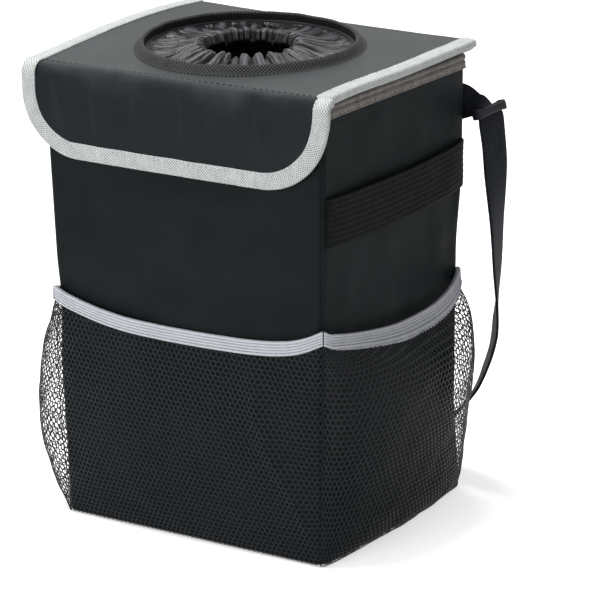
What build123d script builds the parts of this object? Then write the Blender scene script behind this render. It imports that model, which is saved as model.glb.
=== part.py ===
from build123d import *
import os
from math import cos, pi, sin

os.makedirs("parts", exist_ok=True)

# Overall size in mm: +X is the right side, -Y the front, and z = 0 the floor
lid_width = 204.0
lid_depth = 161.0
total_height = 276.0

# Thicknesses of cloth, tape and board
tape = 0.8
panel_t = 3.0
liner_t = 1.0
lid_t = 3.6
flap_t = 3.6
base_t = 3.0
board_t = 2.0
strip_t = 1.0

# Clearances between pieces that move
lid_gap = 0.4
fold_gap = 0.4
closure_gap = 0.4

# Box: the lid overhangs it, and it narrows towards the floor
side_overhang = 5.5
body_taper = 7.5
corner_r = 3.5
corner_min = 1.0
rim_height = 8.5

# Lid, flap and their grey bindings
binding_w = 11.0
lid_corner_r = 6.0
fold_r = 3.0
flap_width = 209.4
flap_drop = 53.6
flap_round = 0.74
closure_w = 60.0
closure_h = 18.0
hinge_tape_w = 180.0

# Throw-in hole: binding ring and gathered collar
hole_x = -4.0
hole_y = 6.0
hole_r = 61.0
ring_r = 68.0
ring_t = 1.2
ring_sides = 56
lip_r = 63.4
lip_h = 5.0
collar_hole_r = 29.0
collar_t = 1.2
collar_rise = 1.6
collar_sag = 1.4
collar_puff = 0.6
hem_drop = 4.2
gathers = 28
gather_outer = 0.5
gather_inner = 1.7
elastic_w = 2.2
elastic_h = 3.0

# Pockets: net wall, elastic mouth, and how far each bulges at a height above the floor
net_t = 1.5
trim_extra = 0.7
trim_h = 9.5
mouth_z = 139.0
mouth_sag = 10.0
pouch_fullness = 0.87
pouch_seat = 5.0
pouch_step = 0.33
pouch_steps = 4
side_profile = ((3, 3), (8, 17), (20, 31), (45, 40), (75, 40), (105, 32), (142, 16))
front_profile = ((3, 2.6), (20, 7.5), (62, 10.5), (142, 7.8))
net_pitch = 19.5
net_strand = 3.0
net_centre_z = 63.0
net_rows = 5
side_columns = 6
front_columns = 8

# Webbing band on the right side
band_low = 191.0
band_high = 219.5
band_t = 1.6
band_bow = 5.0

# Hanging strap
strap_w = 25.0
strap_t = 1.6
strap_z = 241.0
strap_floor = 16.0
slider_wall = 3.0
slider_clear = 0.4
slider_len = 6.6
slider_set = 0.8

# Levels that follow from the sizes above
lid_top = total_height - tape
lid_bottom = lid_top - lid_t
rim_top = lid_bottom - tape - lid_gap
wall_top = rim_top - tape
flap_top = lid_bottom - tape - fold_gap
flap_low = total_height - flap_drop + tape
flap_corner_r = flap_round * flap_drop
flap_axis_y = -lid_depth / 2 + tape + flap_t / 2
flap_axis_z = flap_top - flap_t / 2
width_top = lid_width - 2 * side_overhang
width_bottom = width_top - 2 * body_taper
body_depth = lid_depth - 2 * (tape + flap_t + 2 * strip_t + closure_gap)
lined_t = panel_t + liner_t
lining_low = base_t + board_t
rim_low = wall_top - rim_height
pouch_inset = corner_r * (1 - cos(pi / 4)) + trim_extra + 0.2
collar_r = hole_r - tape


def width_at(z):
    return width_bottom + (width_top - width_bottom) * z / wall_top


def box_form(low, high, grow):
    # The box between two heights, with its faces moved outwards by grow
    half_low = width_at(low) / 2 + grow
    half_high = width_at(high) / 2 + grow
    with BuildPart() as form:
        with BuildSketch(Plane.XZ):
            Polygon((-half_low, low), (half_low, low), (half_high, high), (-half_high, high), align=None)
        extrude(amount=body_depth / 2 + grow, both=True)
        upright = form.edges().filter_by(lambda edge: edge.bounding_box().size.Z > (high - low) / 2)
        fillet(upright, max(corner_r + grow, corner_min))
    return form.part


def faceted_loft(sections):
    # A loft in flat triangles, as stiff cloth lies; each strip is parted on its shorter diagonal
    faces = [Face(Wire.make_polygon(sections[0])), Face(Wire.make_polygon(sections[-1]))]
    for low, high in zip(sections, sections[1:]):
        for k in range(len(low)):
            a, b, c, d = low[k - 1], low[k], high[k], high[k - 1]
            if (a - c).length < (b - d).length:
                halves = ((a, b, c), (a, c, d))
            else:
                halves = ((a, b, d), (b, c, d))
            faces.extend(Face(Wire.make_polygon(corners)) for corners in halves)
    return Solid(Shell(faces))


def on_plane(plane, corners):
    return [plane.from_local_coords(Vector(u, v, 0)) for u, v in corners]


def side_plane(z, side):
    # On the face of a side panel: x along the panel's depth, y outwards
    return Plane(origin=(side * width_at(z) / 2, 0, z), x_dir=(0, 1, 0), z_dir=(0, 0, -side))


def front_plane(z):
    return Plane(origin=(0, -body_depth / 2, z), x_dir=(1, 0, 0), z_dir=(0, 0, -1))


def pouch_outline(plane, half, bulge, wall):
    # Crescent wall of a pouch, drawn into the panel and trimmed to its face later
    steps = [pouch_step * k for k in range(-pouch_steps, pouch_steps + 1)]
    outer = [(half * sin(a), bulge * cos(a) ** pouch_fullness) for a in steps]
    inner = [((half - wall) * sin(-a), (bulge - wall) * cos(a) ** pouch_fullness) for a in steps]
    outer = [(-half, -pouch_seat)] + outer + [(half, -pouch_seat)]
    inner = [(half - wall, -pouch_seat)] + inner + [(wall - half, -pouch_seat)]
    return on_plane(plane, outer + inner)


def side_pouch(side, extra):
    half = body_depth / 2 - pouch_inset + extra
    wall = net_t + 2 * extra
    return [pouch_outline(side_plane(z, side), half, bulge + extra, wall) for z, bulge in side_profile]


def front_pouch(extra):
    inset = pouch_inset - extra
    wall = net_t + 2 * extra
    return [
        pouch_outline(front_plane(z), width_at(z) / 2 - inset, bulge + extra, wall)
        for z, bulge in front_profile
    ]


def mouth_region(plane, half, low):
    # The elastic's band with its sag, or with low set all that lies under it
    top = mouth_z - trim_h if low else mouth_z
    steps = [pi * k / 6 for k in range(-3, 4)]
    line = [(half * sin(a), top - mouth_sag * cos(a) ** 2) for a in steps]
    rest = [(half, 0), (-half, 0)] if low else [(u, v - trim_h) for u, v in reversed(line)]
    with BuildSketch(plane) as region:
        Polygon(*line, *rest, align=None)
    return region.sketch


def net_gaps(plane, columns):
    # Diamond gaps of the net in two staggered grids
    gap = (net_pitch - net_strand * 2 ** 0.5) / 2
    with BuildSketch(plane) as gaps:
        for fewer in (0, 1):
            with Locations((0, net_centre_z)):
                with GridLocations(net_pitch, net_pitch, columns - fewer, net_rows - fewer):
                    Polygon((0, -gap), (gap, 0), (0, gap), (-gap, 0))
    return gaps.sketch


# The box as a block and its hollows, used to cut the panels and trim what is sewn on
box_block = box_form(0, wall_top, 0)
box_hollow = box_form(0, wall_top, -panel_t)

with BuildPart() as lined_wall:
    add(box_block)
    add(box_form(0, wall_top, -lined_t), mode=Mode.SUBTRACT)

# Four panels, parted on the corners' diagonals
far_x = width_top + width_bottom
far_y = 2 * body_depth

with BuildPart() as front_panel:
    add(box_block)
    add(box_hollow, mode=Mode.SUBTRACT)
    with BuildSketch():
        Polygon((0, 0), (-far_x, -far_y), (far_x, -far_y), align=None)
    extrude(amount=wall_top, mode=Mode.INTERSECT)
front_panel.part.label = "front_panel"
export_step(front_panel.part, "parts/front_panel.step")

with BuildPart() as back_panel:
    add(box_block)
    add(box_hollow, mode=Mode.SUBTRACT)
    with BuildSketch():
        Polygon((0, 0), (far_x, far_y), (-far_x, far_y), align=None)
    extrude(amount=wall_top, mode=Mode.INTERSECT)
back_panel.part.label = "back_panel"
export_step(back_panel.part, "parts/back_panel.step")

with BuildPart() as right_panel:
    add(box_block)
    add(box_hollow, mode=Mode.SUBTRACT)
    with BuildSketch():
        Polygon((0, 0), (far_x, -far_y), (far_x, far_y), align=None)
    extrude(amount=wall_top, mode=Mode.INTERSECT)
right_panel.part.label = "right_panel"
export_step(right_panel.part, "parts/right_panel.step")

with BuildPart() as left_panel:
    add(box_block)
    add(box_hollow, mode=Mode.SUBTRACT)
    with BuildSketch():
        Polygon((0, 0), (-far_x, far_y), (-far_x, -far_y), align=None)
    extrude(amount=wall_top, mode=Mode.INTERSECT)
left_panel.part.label = "left_panel"
export_step(left_panel.part, "parts/left_panel.step")

# Base, its board and the lining
with BuildPart() as base_panel:
    add(box_form(0, base_t, -panel_t))
base_panel.part.label = "base_panel"
export_step(base_panel.part, "parts/base_panel.step")

with BuildPart() as base_board:
    add(box_form(base_t, lining_low, -panel_t))
base_board.part.label = "base_board"
export_step(base_board.part, "parts/base_board.step")

with BuildPart() as liner:
    add(box_form(lining_low, wall_top, -panel_t))
    add(box_form(lining_low + liner_t, wall_top, -lined_t), mode=Mode.SUBTRACT)
liner.part.label = "liner"
export_step(liner.part, "parts/liner.step")

# Tape folded over the rim
with BuildPart() as rim_binding:
    add(box_form(rim_low, rim_top, tape))
    add(box_form(rim_low, rim_top, -lined_t - tape), mode=Mode.SUBTRACT)
    add(lined_wall.part, mode=Mode.SUBTRACT)
rim_binding.part.label = "rim_binding"
export_step(rim_binding.part, "parts/rim_binding.step")

# Net pockets with their elastic mouths
with BuildPart() as right_pocket_mesh:
    add(faceted_loft(side_pouch(1, 0)))
    extrude(mouth_region(Plane.YZ, lid_depth / 2, True), amount=lid_width, mode=Mode.INTERSECT)
    extrude(net_gaps(Plane.YZ, side_columns), amount=lid_width, mode=Mode.SUBTRACT)
    add(box_block, mode=Mode.SUBTRACT)
right_pocket_mesh.part.label = "right_pocket_mesh"
export_step(right_pocket_mesh.part, "parts/right_pocket_mesh.step")

with BuildPart() as left_pocket_mesh:
    add(faceted_loft(side_pouch(-1, 0)))
    extrude(mouth_region(Plane.YZ, lid_depth / 2, True), amount=-lid_width, mode=Mode.INTERSECT)
    extrude(net_gaps(Plane.YZ, side_columns), amount=-lid_width, mode=Mode.SUBTRACT)
    add(box_block, mode=Mode.SUBTRACT)
left_pocket_mesh.part.label = "left_pocket_mesh"
export_step(left_pocket_mesh.part, "parts/left_pocket_mesh.step")

with BuildPart() as front_pocket_mesh:
    add(faceted_loft(front_pouch(0)))
    extrude(mouth_region(Plane.XZ, lid_width / 2, True), amount=lid_depth, mode=Mode.INTERSECT)
    extrude(net_gaps(Plane.XZ, front_columns), amount=lid_depth, mode=Mode.SUBTRACT)
    add(box_block, mode=Mode.SUBTRACT)
front_pocket_mesh.part.label = "front_pocket_mesh"
export_step(front_pocket_mesh.part, "parts/front_pocket_mesh.step")

with BuildPart() as right_pocket_trim:
    add(faceted_loft(side_pouch(1, trim_extra)))
    extrude(mouth_region(Plane.YZ, lid_depth / 2, False), amount=lid_width, mode=Mode.INTERSECT)
    add(box_block, mode=Mode.SUBTRACT)
right_pocket_trim.part.label = "right_pocket_trim"
export_step(right_pocket_trim.part, "parts/right_pocket_trim.step")

with BuildPart() as left_pocket_trim:
    add(faceted_loft(side_pouch(-1, trim_extra)))
    extrude(mouth_region(Plane.YZ, lid_depth / 2, False), amount=-lid_width, mode=Mode.INTERSECT)
    add(box_block, mode=Mode.SUBTRACT)
left_pocket_trim.part.label = "left_pocket_trim"
export_step(left_pocket_trim.part, "parts/left_pocket_trim.step")

with BuildPart() as front_pocket_trim:
    add(faceted_loft(front_pouch(trim_extra)))
    extrude(mouth_region(Plane.XZ, lid_width / 2, False), amount=lid_depth, mode=Mode.INTERSECT)
    add(box_block, mode=Mode.SUBTRACT)
front_pocket_trim.part.label = "front_pocket_trim"
export_step(front_pocket_trim.part, "parts/front_pocket_trim.step")

# Webbing band, sewn at both upright seams and bowed a little between them
with BuildPart() as right_side_band:
    band_half = body_depth / 2 - pouch_inset
    band_ends = [side_plane(z, 1) for z in (band_low, band_high)]
    add(faceted_loft([pouch_outline(end, band_half, band_bow, band_t) for end in band_ends]))
    add(box_block, mode=Mode.SUBTRACT)
right_side_band.part.label = "right_side_band"
export_step(right_side_band.part, "parts/right_side_band.step")

# Lid panel with its round hole and rolled front edge
with BuildPart() as lid_panel:
    with BuildSketch(Plane.XY.offset(lid_bottom)):
        with Locations((0, tape / 2)):
            Rectangle(lid_width - 2 * tape, lid_depth - tape)
        fillet(vertices().group_by(Axis.Y)[-1], lid_corner_r)
        with Locations((hole_x, hole_y)):
            Circle(hole_r, mode=Mode.SUBTRACT)
    extrude(amount=lid_t)
    fillet(edges().filter_by(Axis.X).group_by(Axis.Y)[0].sort_by(Axis.Z)[-1], fold_r)
lid_panel.part.label = "lid_panel"
export_step(lid_panel.part, "parts/lid_panel.step")

# Side bindings, folded over the lid's edges
binding_front = -lid_depth / 2 + tape + fold_r
binding_len = lid_depth / 2 - lid_corner_r - binding_front

with BuildPart() as lid_binding_right:
    with BuildSketch(Plane.XY.offset(lid_bottom - tape)):
        with Locations((lid_width / 2 - binding_w, binding_front)):
            Rectangle(binding_w, binding_len, align=(Align.MIN, Align.MIN))
    extrude(amount=lid_t + 2 * tape)
    add(lid_panel.part, mode=Mode.SUBTRACT)
lid_binding_right.part.label = "lid_binding_right"
export_step(lid_binding_right.part, "parts/lid_binding_right.step")

with BuildPart() as lid_binding_left:
    with BuildSketch(Plane.XY.offset(lid_bottom - tape)):
        with Locations((binding_w - lid_width / 2, binding_front)):
            Rectangle(binding_w, binding_len, align=(Align.MAX, Align.MIN))
    extrude(amount=lid_t + 2 * tape)
    add(lid_panel.part, mode=Mode.SUBTRACT)
lid_binding_left.part.label = "lid_binding_left"
export_step(lid_binding_left.part, "parts/lid_binding_left.step")

# Binding ring folded over the hole's edge, with a raised lip
lip_levels = (
    (lid_bottom - ring_t, ring_r),
    (lid_top, ring_r),
    (lid_top + ring_t, ring_r - ring_t / 2),
    (lid_top + 0.85 * lip_h, (ring_r + 2 * lip_r) / 3),
    (lid_top + lip_h, lip_r),
)
with BuildPart() as opening_binding:
    for level, radius in lip_levels:
        with BuildSketch(Plane((hole_x, hole_y, level))):
            RegularPolygon(radius, ring_sides)
    loft(ruled=True)
    with BuildSketch(Plane((hole_x, hole_y, lid_bottom - ring_t))):
        RegularPolygon(collar_r, ring_sides)
    extrude(amount=lid_t + 2 * ring_t + lip_h, mode=Mode.SUBTRACT)
    with BuildSketch(Plane((hole_x, hole_y, lid_bottom))):
        Circle(2 * ring_r)
        RegularPolygon(hole_r, ring_sides, mode=Mode.SUBTRACT)
    extrude(amount=lid_t, mode=Mode.SUBTRACT)
opening_binding.part.label = "opening_binding"
export_step(opening_binding.part, "parts/opening_binding.step")

# One gather of the collar: a ridge that grows towards the elastic hole
collar_top = lid_top + collar_rise
hem_z = collar_top - hem_drop
collar_rows = (
    (collar_r, collar_top, gather_outer),
    (0.6 * collar_r + 0.4 * collar_hole_r, collar_top - collar_sag, (gather_outer + gather_inner) / 2),
    (0.17 * collar_r + 0.83 * collar_hole_r, collar_top + collar_puff, gather_inner),
    (collar_hole_r, hem_z, gather_inner),
)
gather = []
for radius, level, ridge in collar_rows:
    half_w = radius * sin(pi / gathers)
    upper = [(-half_w, -ridge), (0, ridge), (half_w, -ridge)]
    under = [(u, v - collar_t) for u, v in reversed(upper)]
    mid_radius = radius * cos(pi / gathers)
    across = Plane(origin=(mid_radius, 0, level), x_dir=(0, 1, 0), z_dir=(1, 0, 0))
    gather.append(on_plane(across, upper + under))

with BuildPart() as elastic_collar:
    with Locations((hole_x, hole_y, 0)):
        with PolarLocations(0, gathers):
            add(faceted_loft(gather))
elastic_collar.part.label = "elastic_collar"
export_step(elastic_collar.part, "parts/elastic_collar.step")

with BuildPart() as collar_elastic:
    with BuildSketch(Plane((hole_x, hole_y, hem_z - collar_t / 2))):
        RegularPolygon(collar_hole_r, gathers, rotation=180 / gathers)
        RegularPolygon(collar_hole_r - elastic_w, gathers, rotation=180 / gathers, mode=Mode.SUBTRACT)
    extrude(amount=elastic_h / 2, both=True)
collar_elastic.part.label = "collar_elastic"
export_step(collar_elastic.part, "parts/collar_elastic.step")

# Flap: its rounded top turns under the lid's edge
with BuildPart() as flap_panel:
    with BuildSketch(Plane.YZ):
        with Locations((flap_axis_y, flap_axis_z)):
            Circle(flap_t / 2)
            Rectangle(flap_t, flap_axis_z - flap_low, align=(Align.CENTER, Align.MAX))
    extrude(amount=flap_width / 2 - tape, both=True)
    with BuildSketch(Plane.XZ):
        with Locations((0, flap_top)):
            Rectangle(flap_width - 2 * tape, flap_top - flap_low, align=(Align.CENTER, Align.MAX))
        fillet(vertices().group_by(Axis.Y)[0], flap_corner_r)
    extrude(amount=lid_depth, mode=Mode.INTERSECT)
flap_panel.part.label = "flap_panel"
export_step(flap_panel.part, "parts/flap_panel.step")

# Binding folded over the flap's sides and lower edge
flap_binding_top = flap_axis_z - flap_t / 2 - tape
with BuildPart() as flap_binding:
    with BuildSketch(Plane.XZ.offset(-flap_axis_y - flap_t / 2 - tape)):
        with Locations((0, flap_binding_top)):
            Rectangle(flap_width, flap_binding_top - flap_low + tape, align=(Align.CENTER, Align.MAX))
        fillet(vertices().group_by(Axis.Y)[0], flap_corner_r + tape)
    extrude(amount=flap_t + 2 * tape)
    with BuildSketch(Plane.XZ):
        with Locations((0, flap_top)):
            Rectangle(
                flap_width - 2 * binding_w,
                flap_top - flap_low + tape - binding_w,
                align=(Align.CENTER, Align.MAX),
            )
        fillet(vertices().group_by(Axis.Y)[0], flap_corner_r + tape - binding_w)
    extrude(amount=lid_depth, mode=Mode.SUBTRACT)
    add(flap_panel.part, mode=Mode.SUBTRACT)
flap_binding.part.label = "flap_binding"
export_step(flap_binding.part, "parts/flap_binding.step")

# Hook and loop closure between flap and front
closure_z = flap_low + binding_w + closure_h / 2
with BuildPart() as flap_hook_strip:
    with BuildSketch(Plane.XZ.offset(-flap_axis_y - flap_t / 2)):
        with Locations((0, closure_z)):
            Rectangle(closure_w, closure_h)
    extrude(amount=-strip_t)
flap_hook_strip.part.label = "flap_hook_strip"
export_step(flap_hook_strip.part, "parts/flap_hook_strip.step")

with BuildPart() as front_loop_strip:
    with BuildSketch(Plane.XZ.offset(body_depth / 2)):
        with Locations((0, closure_z)):
            Rectangle(closure_w, closure_h)
    extrude(amount=strip_t)
front_loop_strip.part.label = "front_loop_strip"
export_step(front_loop_strip.part, "parts/front_loop_strip.step")

# Tape from the rim's back to just under the lid's back edge
rim_back = body_depth / 2 + tape
hinge_y = lid_depth / 2
with BuildPart() as lid_hinge_tape:
    with BuildSketch(Plane.YZ):
        Polygon(
            (rim_back, rim_low),
            (rim_back + strip_t, rim_low),
            (hinge_y, rim_top - strip_t),
            (hinge_y, rim_top),
            (hinge_y - strip_t, rim_top),
            (rim_back, rim_low + 3 * strip_t),
            align=None,
        )
    extrude(amount=hinge_tape_w / 2, both=True)
lid_hinge_tape.part.label = "lid_hinge_tape"
export_step(lid_hinge_tape.part, "parts/lid_hinge_tape.step")

# Strap: each station is a place, the way it runs and the way its width lies
seam_x = width_at(strap_z) / 2
back_y = body_depth / 2 + strap_t / 2
strap_half = (
    ((seam_x - corner_r - 8, back_y, strap_z), (1, 0, 0), (0, 0, 1)),
    ((seam_x - corner_r, back_y, strap_z), (1, 0, 0), (0, 0, 1)),
    ((seam_x + 1.5, back_y + 2, strap_z), (1, 0.4, 0), (0, 0.1, 1)),
    ((seam_x + 8, back_y + 4.5, strap_z + 1), (1, 0.2, -0.1), (0, 0.95, 0.3)),
    ((seam_x + 15, back_y + 5.5, strap_z - 1), (0.25, 0, -1), (0, 1, 0)),
    ((seam_x + 17, back_y + 5.5, strap_z - 9), (0.25, 0, -1), (0, 1, 0)),
    ((seam_x + 19, back_y + 7, strap_z - 35), (0, 0, -1), (-0.05, 1, 0)),
    ((seam_x + 19, back_y + 9, strap_z - 90), (0, 0, -1), (-0.15, 1, 0)),
    ((seam_x + 15, back_y + 11, strap_z - 138), (-0.15, 0, -1), (-0.56, 0.83, 0)),
    ((seam_x + 2, back_y + 14, strap_floor + 48), (-0.5, 0, -0.85), (-0.3, 0.95, 0)),
    ((seam_x - 17, back_y + 18, strap_floor + 20), (-0.85, 0, -0.5), (0, 1, 0)),
    ((seam_x - 50, back_y + 20, strap_floor + 4), (-1, 0, -0.15), (0, 1, 0)),
)
strap_planes = [Plane(origin=place, x_dir=across, z_dir=run) for place, run, across in strap_half]
strap_planes.append(Plane(origin=(0, back_y + 21, strap_floor), x_dir=(0, 1, 0), z_dir=(-1, 0, 0)))
for place, run, across in reversed(strap_half):
    mirrored = Plane(
        origin=(-place[0], place[1], place[2]),
        x_dir=(-across[0], across[1], across[2]),
        z_dir=(run[0], -run[1], -run[2]),
    )
    strap_planes.append(mirrored)
wide = strap_w / 2
thick = strap_t / 2
strap_corners = ((-wide, -thick), (wide, -thick), (wide, thick), (-wide, thick))

with BuildPart() as hanging_strap:
    add(faceted_loft([on_plane(plane, strap_corners) for plane in strap_planes]))
hanging_strap.part.label = "hanging_strap"
export_step(hanging_strap.part, "parts/hanging_strap.step")

# Slider: a loop that the strap runs through where it turns down
slider_top = strap_half[4]
with BuildPart() as strap_slider:
    with BuildSketch(Plane(origin=slider_top[0], x_dir=slider_top[2], z_dir=slider_top[1]).offset(slider_set)):
        RectangleRounded(
            strap_w + 2 * (slider_clear + slider_wall),
            strap_t + 2 * (slider_clear + slider_wall),
            slider_wall / 2,
        )
        Rectangle(strap_w + 2 * slider_clear, strap_t + 2 * slider_clear, mode=Mode.SUBTRACT)
    extrude(amount=slider_len)
strap_slider.part.label = "strap_slider"
export_step(strap_slider.part, "parts/strap_slider.step")
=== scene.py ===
import bpy
import math
import numpy as np
from mathutils import Matrix, Vector, noise


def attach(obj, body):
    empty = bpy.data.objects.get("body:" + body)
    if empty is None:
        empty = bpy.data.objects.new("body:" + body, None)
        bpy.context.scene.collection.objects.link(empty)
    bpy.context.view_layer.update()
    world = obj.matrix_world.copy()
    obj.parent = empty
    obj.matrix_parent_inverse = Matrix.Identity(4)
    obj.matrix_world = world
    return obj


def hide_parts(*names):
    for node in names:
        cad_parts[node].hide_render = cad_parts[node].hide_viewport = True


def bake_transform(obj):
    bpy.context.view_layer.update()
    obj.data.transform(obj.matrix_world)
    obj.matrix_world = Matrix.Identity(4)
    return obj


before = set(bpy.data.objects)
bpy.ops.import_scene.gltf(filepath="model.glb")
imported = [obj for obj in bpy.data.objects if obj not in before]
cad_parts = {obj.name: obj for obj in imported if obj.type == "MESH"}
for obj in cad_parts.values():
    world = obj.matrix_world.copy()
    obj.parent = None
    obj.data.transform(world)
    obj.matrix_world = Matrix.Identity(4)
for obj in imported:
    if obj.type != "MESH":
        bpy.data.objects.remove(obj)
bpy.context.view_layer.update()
scene = bpy.context.scene
print("stage: frame loaded")


# Helpers: lengths are in millimetres until a mesh is made, and its points are then in metres
def ramp(low, high, value):
    t = np.clip((np.asarray(value, float) - low) / (high - low), 0.0, 1.0)
    return t * t * (3 - 2 * t)


def lumps(points, size, seed=0.0, octaves=1):
    # Smooth noise between -1 and 1 at each point, with lumps of about that size
    flat = np.asarray(points, float).reshape(-1, 3) / size
    out = np.zeros(len(flat))
    for k, p in enumerate(flat):
        v = Vector((p[0] + seed, p[1] - 1.7 * seed, p[2] + 0.6 * seed))
        out[k] = noise.noise(v) if octaves == 1 else noise.fractal(v, 1.0, 2.0, octaves)
    return out.reshape(np.shape(points)[:-1])


def curveAt(table, x):
    # Smooth curve through the table's (x, y) pairs
    xs = np.array([p[0] for p in table], float)
    ys = np.array([p[1] for p in table], float)
    slope = np.gradient(ys, xs)
    x = np.clip(np.asarray(x, float), xs[0], xs[-1])
    k = np.clip(np.searchsorted(xs, x) - 1, 0, len(xs) - 2)
    h = xs[k + 1] - xs[k]
    t = (x - xs[k]) / h
    a, b = 2 * t ** 3 - 3 * t ** 2 + 1, t ** 3 - 2 * t ** 2 + t
    c, d = -2 * t ** 3 + 3 * t ** 2, t ** 3 - t ** 2
    return a * ys[k] + b * h * slope[k] + c * ys[k + 1] + d * h * slope[k + 1]


def raised(flat, z):
    # Flat points taken to a height
    return np.column_stack([flat, np.full(len(flat), z)])


def closed(points):
    # The same points with the first one again at the end
    return np.concatenate([points, points[:1]], 0)


def squareTurn(angle, power):
    # Cosine and sine for a rounded box instead of a circle: the smaller the power, the sharper its corners
    c, s = np.cos(angle), np.sin(angle)
    return np.sign(c) * np.abs(c) ** power, np.sign(s) * np.abs(s) ** power


def addObject(name, data):
    obj = bpy.data.objects.new(name, data)
    scene.collection.objects.link(obj)
    return obj


def makeObject(name, verts, faces, uvs, material):
    mesh = bpy.data.meshes.new(name)
    mesh.from_pydata((np.asarray(verts, float) * 0.001).tolist(), [], [list(map(int, f)) for f in faces])
    if uvs is not None:
        layer = mesh.uv_layers.new(name="UVMap")
        layer.data.foreach_set("uv", np.asarray(uvs, float).ravel())
    mesh.polygons.foreach_set("use_smooth", [True] * len(mesh.polygons))
    mesh.materials.append(material)
    mesh.update()
    return addObject(name, mesh)


def gridFaces(rows, cols, wrapRows=False, wrapCols=False):
    r = np.arange(rows if wrapRows else rows - 1)
    c = np.arange(cols if wrapCols else cols - 1)
    r, c = [m.ravel() for m in np.meshgrid(r, c, indexing="ij")]
    r1, c1 = (r + 1) % rows, (c + 1) % cols
    faces = np.stack([r * cols + c, r * cols + c1, r1 * cols + c1, r1 * cols + c], -1)
    return faces, r, c


def gridObject(name, points, uv, material, wrapRows=False, wrapCols=False, flip=False):
    # points[row][column]; uv in metres has one more row or column where the grid closes on itself
    rows, cols = points.shape[:2]
    faces, r, c = gridFaces(rows, cols, wrapRows, wrapCols)
    corners = np.stack([uv[r, c], uv[r, c + 1], uv[r + 1, c + 1], uv[r + 1, c]], 1)
    if flip:
        faces, corners = faces[:, ::-1], corners[:, ::-1]
    return makeObject(name, points.reshape(-1, 3), faces, corners, material)


def gridUv(run, rise):
    return np.stack(np.broadcast_arrays(run[None], rise[:, None]), -1)


def planUv(points):
    # Coordinates seen from above, for a grid that closes on itself both ways
    flat = np.concatenate([points[:, :, :2], points[:, :1, :2]], 1) * 0.001
    return closed(flat)


def lengthsAlong(points):
    steps = np.linalg.norm(np.diff(points, axis=0), axis=-1)
    return np.concatenate([[0.0], np.cumsum(steps)])


def thicken(obj, thickness, offset):
    mod = obj.modifiers.new("thickness", "SOLIDIFY")
    mod.thickness = thickness * 0.001
    mod.offset = offset


def unit(v):
    v = np.asarray(v, float)
    return v / np.linalg.norm(v, axis=-1, keepdims=True)


def stitchRow(name, line, normals, material, stitch=3.0, gap=1.4, thick=0.55, sunk=0.05):
    # A row of sewn stitches: short rounded lengths of thread that dip into the cloth at both ends
    line, normals = np.asarray(line, float), unit(normals)
    s = lengthsAlong(line)
    count = int(s[-1] / (stitch + gap))
    starts = (np.arange(count) + 0.5) * s[-1] / count - stitch / 2
    share = np.linspace(0, 1, 6)
    thread = thick / 2 * np.array([0.35, 0.85, 1.0, 1.0, 0.85, 0.35])
    height = thick * np.array([-0.45, -0.05, 0.12, 0.12, -0.05, -0.45]) - sunk
    where = starts[:, None] + share[None] * stitch
    mid = np.stack([np.interp(where, s, line[:, k]) for k in range(3)], -1)
    up = unit(np.stack([np.interp(where, s, normals[:, k]) for k in range(3)], -1))
    run = unit(np.gradient(mid, axis=1))
    side = unit(np.cross(run, up))
    turns = np.linspace(0, 2 * math.pi, 7)[:-1]
    core = mid + up * height[None, :, None]
    rings = [core + (side * math.cos(a) + up * math.sin(a)) * thread[None, :, None] for a in turns]
    points = np.stack(rings, 2)  # stitch, place along it, place round it
    faces, _, _ = gridFaces(6, 6, wrapCols=True)
    ends = [[5, 4, 3, 2, 1, 0], [30, 31, 32, 33, 34, 35]]
    every = [(np.array(f) + 36 * k).tolist() for k in range(count) for f in faces.tolist() + ends]
    return makeObject(name, points.reshape(-1, 3), every, None, material)


def finishPiece(obj, slotName, *nodes):
    if nodes:
        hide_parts(*nodes)


def place(obj, body, slotName, *nodes):
    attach(obj, body)
    finishPiece(obj, slotName, *nodes)


def foldOver(obj, slotName, *nodes):
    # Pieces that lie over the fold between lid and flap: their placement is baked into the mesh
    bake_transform(obj)
    finishPiece(obj, slotName, *nodes)


# Materials: each is worked out from threads and noise, with no pictures
def link(tree, value, socket):
    if isinstance(value, (int, float)):
        socket.default_value = value
    else:
        tree.links.new(value, socket)


def calc(tree, operation, first, second=0.0):
    node = tree.nodes.new("ShaderNodeMath")
    node.operation = operation
    link(tree, first, node.inputs[0])
    link(tree, second, node.inputs[1])
    return node.outputs[0]


def axes(tree, kind):
    coord = tree.nodes.new("ShaderNodeTexCoord")
    split = tree.nodes.new("ShaderNodeSeparateXYZ")
    tree.links.new(coord.outputs[kind], split.inputs[0])
    return coord.outputs[kind], split.outputs


def wave(tree, value, period):
    return calc(tree, "SINE", calc(tree, "MULTIPLY", value, 2 * math.pi / period))


def cloudy(tree, vector, size, detail=3.0):
    node = tree.nodes.new("ShaderNodeTexNoise")
    node.inputs["Scale"].default_value = 1.0 / size
    node.inputs["Detail"].default_value = detail
    tree.links.new(vector, node.inputs["Vector"])
    return node.outputs["Fac"]


def shade(tree, factor, stops):
    node = tree.nodes.new("ShaderNodeValToRGB")
    points = node.color_ramp.elements
    while len(points) < len(stops):
        points.new(0.5)
    for point, (where, colour) in zip(points, stops):
        point.position = where
        point.color = (*colour, 1.0)
    tree.links.new(factor, node.inputs[0])
    return node.outputs[0]


def bump(tree, bsdf, height, depth):
    node = tree.nodes.new("ShaderNodeBump")
    node.inputs["Strength"].default_value = 1.0
    node.inputs["Distance"].default_value = depth * 0.001
    tree.links.new(height, node.inputs["Height"])
    tree.links.new(node.outputs[0], bsdf.inputs["Normal"])


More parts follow.
